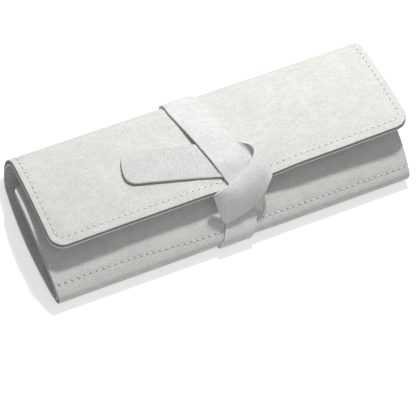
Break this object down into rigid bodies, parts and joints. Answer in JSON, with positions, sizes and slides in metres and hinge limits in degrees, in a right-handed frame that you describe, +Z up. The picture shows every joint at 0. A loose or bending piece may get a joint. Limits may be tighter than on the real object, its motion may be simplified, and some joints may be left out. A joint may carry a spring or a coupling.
{
  "type": "jewelry travel bag",
  "caption": "Soft suede jewelry roll that folds shut under a round-cornered flap, tied with a flat strap, with a zip pocket, slip pockets and a ring cushion inside.",
  "frame": {"origin": "middle of the footprint on the table, under the closed roll", "axes": "+X along the roll to its right end, +Y from the front fold to the rounded back, +Z up"},
  "size_m": [0.239, 0.0978, 0.0442],
  "materials": {
    "suede": "short brushed nap",
    "lining": "short brushed nap",
    "strap_suede": "flat cut strip",
    "stiffener_sheet": "thin plain sheet",
    "zip_cloth": "woven tape",
    "zip_plastic": "coil",
    "nickel": "bright plated"
  },
  "bodies": {
    "base": {"base_outer": "suede", "base_stiffener": "stiffener_sheet", "base_lining": "lining", "spine_outer": "suede", "spine_lining": "lining", "back_fold_outer": "suede", "back_fold_lining": "lining", "front_fold_outer": "suede", "front_fold_lining": "lining", "pocket_front_panel": "lining", "pocket_back_panel": "lining", "zip_tape_front": "zip_cloth", "zip_tape_back": "zip_cloth", "zip_coil": "zip_plastic", "zip_stop_left": "nickel", "zip_stop_right": "nickel", "ring_pad": "lining", "ring_roll_1": "suede", "ring_roll_2": "suede", "ring_roll_3": "suede", "strap_under": "strap_suede", "strap_back": "strap_suede", "strap_back_fold": "strap_suede", "strap_front_fold": "strap_suede"},
    "flap": {"flap_pocket": "lining", "flap_outer": "suede", "flap_stiffener": "stiffener_sheet", "flap_lining": "lining", "strap_over": "strap_suede", "strap_loop": "strap_suede", "strap_tuck": "strap_suede"},
    "front_panel": {"front_outer": "suede", "front_stiffener": "stiffener_sheet", "front_lining": "lining", "front_pocket": "lining", "strap_front": "strap_suede", "strap_anchor": "strap_suede"},
    "tail": {"strap_tail": "strap_suede"},
    "slider": {"zip_slider": "nickel"},
    "pull": {"zip_pull": "nickel"}
  },
  "joints": [
    {"name": "flap_hinge", "type": "hinge", "parent": "base", "child": "flap", "pos_m": [0, 0.04324, 0.02257], "axis": [-1, 0, 0], "range_deg": [0, 160], "deforming": ["back_fold_outer", "back_fold_lining", "strap_back_fold"]},
    {"name": "front_hinge", "type": "hinge", "parent": "base", "child": "front_panel", "pos_m": [0, -0.04686, 0.0045], "axis": [1, 0, 0], "range_deg": [0, 80], "deforming": ["front_fold_outer", "front_fold_lining", "strap_front_fold"]},
    {"name": "tail_lift", "type": "hinge", "parent": "flap", "child": "tail", "pos_m": [-0.01181, -0.00279, 0.03696], "axis": [0.266, 0.9528, -0.1466], "range_deg": [0, 80]},
    {"name": "zip_slide", "type": "slide", "parent": "base", "child": "slider", "axis": [1, 0, 0], "range_m": [0, 0.176]},
    {"name": "pull_swing", "type": "hinge", "parent": "slider", "child": "pull", "pos_m": [-0.09, 0.011, 0.01166], "axis": [0, -1, 0], "range_deg": [0, 165]}
  ],
  "couplings": [
    {"joint": "front_hinge", "follows": "flap_hinge", "ratio": 0.5}
  ]
}
